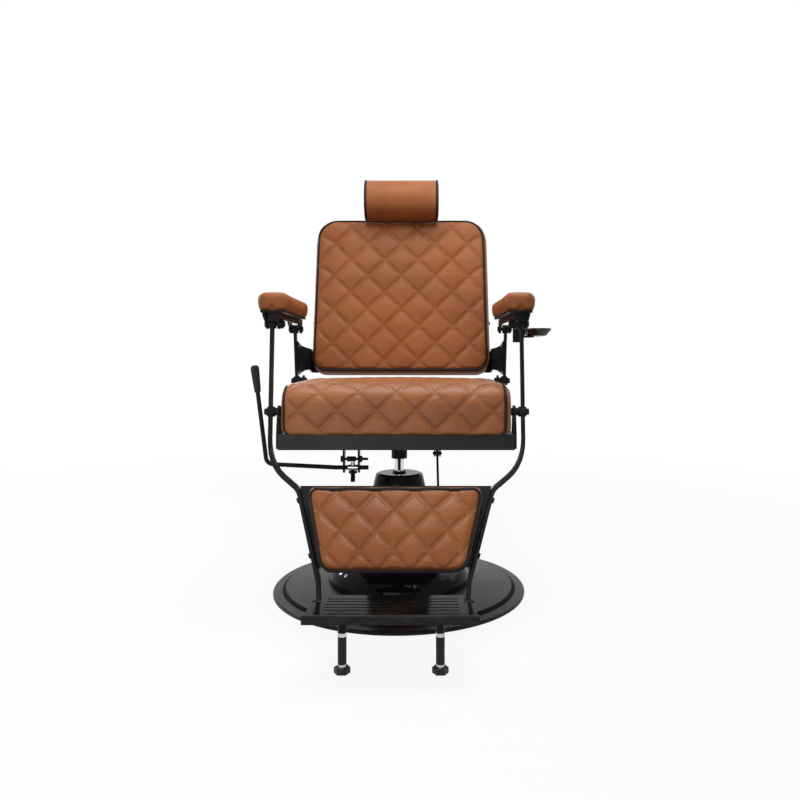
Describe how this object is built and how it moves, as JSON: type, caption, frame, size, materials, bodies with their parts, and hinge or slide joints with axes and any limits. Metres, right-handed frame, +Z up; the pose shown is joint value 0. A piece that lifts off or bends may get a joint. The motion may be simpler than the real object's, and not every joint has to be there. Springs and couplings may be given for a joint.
{
  "type": "hydraulic barber chair",
  "caption": "Hydraulic barber chair: disc base, lifting swivel column, quilted seat, reclining back linked to armrests and leg rest, folding footplate, adjustable headrest.",
  "frame": {"origin": "centre of the underside of the floor disc, on the floor, on the column's axis", "axes": "+Z up along the column, -Y towards the footplate, +X to the right as seen from in front"},
  "size_m": [0.8016, 1.02, 1.2333],
  "materials": {
    "disc": "gloss black enamel, slightly brown",
    "gloss_cover": "gloss black",
    "black_steel": "satin black powder coat",
    "plate": "satin black, worn on the ribs",
    "chrome": "polished",
    "zinc": "bright zinc plated",
    "leather": "tan quilted leather, soft sheen",
    "back_panel": "matte black",
    "tray_plastic": "satin black",
    "grip": "matte black",
    "rubber": "matte black",
    "board": "bare plywood"
  },
  "bodies": {
    "base": {"base_plate": "disc", "floor_mat": "rubber", "base_dome": "gloss_cover", "pump_cylinder": "black_steel", "cylinder_gland": "black_steel", "pump_bolts": "zinc", "column_cover": "gloss_cover", "wiper_ring": "rubber", "pedal_bracket": "black_steel"},
    "pedal": {"pedal_arm": "black_steel", "pedal_pad": "rubber"},
    "piston": {"piston_rod": "chrome", "piston_head": "zinc"},
    "seat": {"swivel_hub": "black_steel", "hub_bolts": "zinc", "cross_rails": "black_steel", "front_rail": "black_steel", "rear_rail": "black_steel", "side_rail_left": "black_steel", "side_rail_right": "black_steel", "front_brackets": "black_steel", "rear_brackets": "black_steel", "frame_pivots": "black_steel", "seat_board": "board", "seat_cushion": "leather", "lever_bracket": "black_steel", "strut_bracket": "black_steel"},
    "backrest": {"back_board": "board", "back_cushion": "leather", "back_cover": "back_panel", "back_bracket_left": "black_steel", "back_bracket_right": "black_steel", "headrest_sockets": "black_steel"},
    "headrest_stem": {"headrest_bars": "chrome"},
    "headrest": {"headrest_core": "black_steel", "headrest_cushion": "leather"},
    "legrest": {"leg_bar_left": "black_steel", "leg_bar_right": "black_steel", "calf_panel": "black_steel", "calf_cushion": "leather", "calf_bolts": "black_steel"},
    "armrest_left": {"arm_frame_left": "black_steel", "arm_pins_left": "black_steel", "arm_pad_left": "leather"},
    "armrest_right": {"arm_frame_right": "black_steel", "arm_pins_right": "black_steel", "arm_pad_right": "leather", "tray_bracket": "black_steel", "tray": "tray_plastic"},
    "footrest": {"footplate": "plate", "foot_bosses": "black_steel"},
    "foot_left": {"foot_screw_left": "zinc", "foot_pad_left": "rubber"},
    "foot_right": {"foot_screw_right": "zinc", "foot_pad_right": "rubber"},
    "lever": {"recline_lever": "black_steel", "lever_grip": "grip", "lever_collar": "zinc"},
    "strut_rod_body": {"strut_rod": "black_steel"},
    "strut_cylinder_body": {"strut_cylinder": "black_steel"}
  },
  "joints": [
    {"name": "lift", "type": "slide", "parent": "base", "child": "piston", "axis": [0, 0, 1], "range_m": [0, 0.15]},
    {"name": "swivel", "type": "hinge", "parent": "piston", "child": "seat", "pos_m": [0, 0, 0.4], "axis": [0, 0, 1], "continuous": true},
    {"name": "pump_pedal", "type": "hinge", "parent": "base", "child": "pedal", "pos_m": [0, 0.062, 0.118], "axis": [-1, 0, 0], "range_deg": [0, 12], "stiffness_Nm_per_rad": 60, "springref_deg": -6.88},
    {"name": "recline", "type": "hinge", "parent": "seat", "child": "backrest", "pos_m": [0, 0.14, 0.588], "axis": [-1, 0, 0], "range_deg": [0, 35]},
    {"name": "headrest_height", "type": "slide", "parent": "backrest", "child": "headrest_stem", "axis": [0, 0.1908, 0.9816], "range_m": [0, 0.09]},
    {"name": "headrest_tilt", "type": "hinge", "parent": "headrest_stem", "child": "headrest", "pos_m": [0, 0.31459, 1.1684], "axis": [-1, 0, 0], "range_deg": [-5, 25]},
    {"name": "legrest_swing", "type": "hinge", "parent": "seat", "child": "legrest", "pos_m": [0, -0.235, 0.522], "axis": [-1, 0, 0], "range_deg": [0, 26]},
    {"name": "arm_left_pivot", "type": "hinge", "parent": "legrest", "child": "armrest_left", "pos_m": [-0.318, -0.222, 0.745], "axis": [-1, 0, 0], "range_deg": [-29.6, 0]},
    {"name": "arm_right_pivot", "type": "hinge", "parent": "legrest", "child": "armrest_right", "pos_m": [0.318, -0.222, 0.745], "axis": [-1, 0, 0], "range_deg": [-29.6, 0]},
    {"name": "footplate_flip", "type": "hinge", "parent": "legrest", "child": "footrest", "pos_m": [0, -0.465, 0.1135], "axis": [-1, 0, 0], "range_deg": [0, 65]},
    {"name": "foot_left_screw", "type": "slide", "parent": "footrest", "child": "foot_left", "axis": [0, 0, 1], "range_m": [-0.016, 0]},
    {"name": "foot_right_screw", "type": "slide", "parent": "footrest", "child": "foot_right", "axis": [0, 0, 1], "range_m": [-0.016, 0]},
    {"name": "recline_handle", "type": "hinge", "parent": "seat", "child": "lever", "pos_m": [-0.2, -0.13, 0.364], "axis": [-1, 0, 0], "range_deg": [0, 16], "stiffness_Nm_per_rad": 8, "springref_deg": -8.59},
    {"name": "strut_swing", "type": "hinge", "parent": "seat", "child": "strut_rod_body", "pos_m": [0.105, -0.15, 0.405], "axis": [-1, 0, 0], "range_deg": [0, 24.7]},
    {"name": "strut_stroke", "type": "slide", "parent": "strut_rod_body", "child": "strut_cylinder_body", "axis": [0, -0.7636, -0.6457], "range_m": [0, 0.065]}
  ],
  "couplings": [
    {"joint": "legrest_swing", "follows": "recline", "ratio": 0.74},
    {"joint": "arm_left_pivot", "follows": "recline", "ratio": -0.84},
    {"joint": "arm_right_pivot", "follows": "recline", "ratio": -0.84},
    {"joint": "strut_swing", "follows": "recline", "ratio": 0.703},
    {"joint": "strut_stroke", "follows": "recline", "m_per_rad": 0.1057}
  ]
}
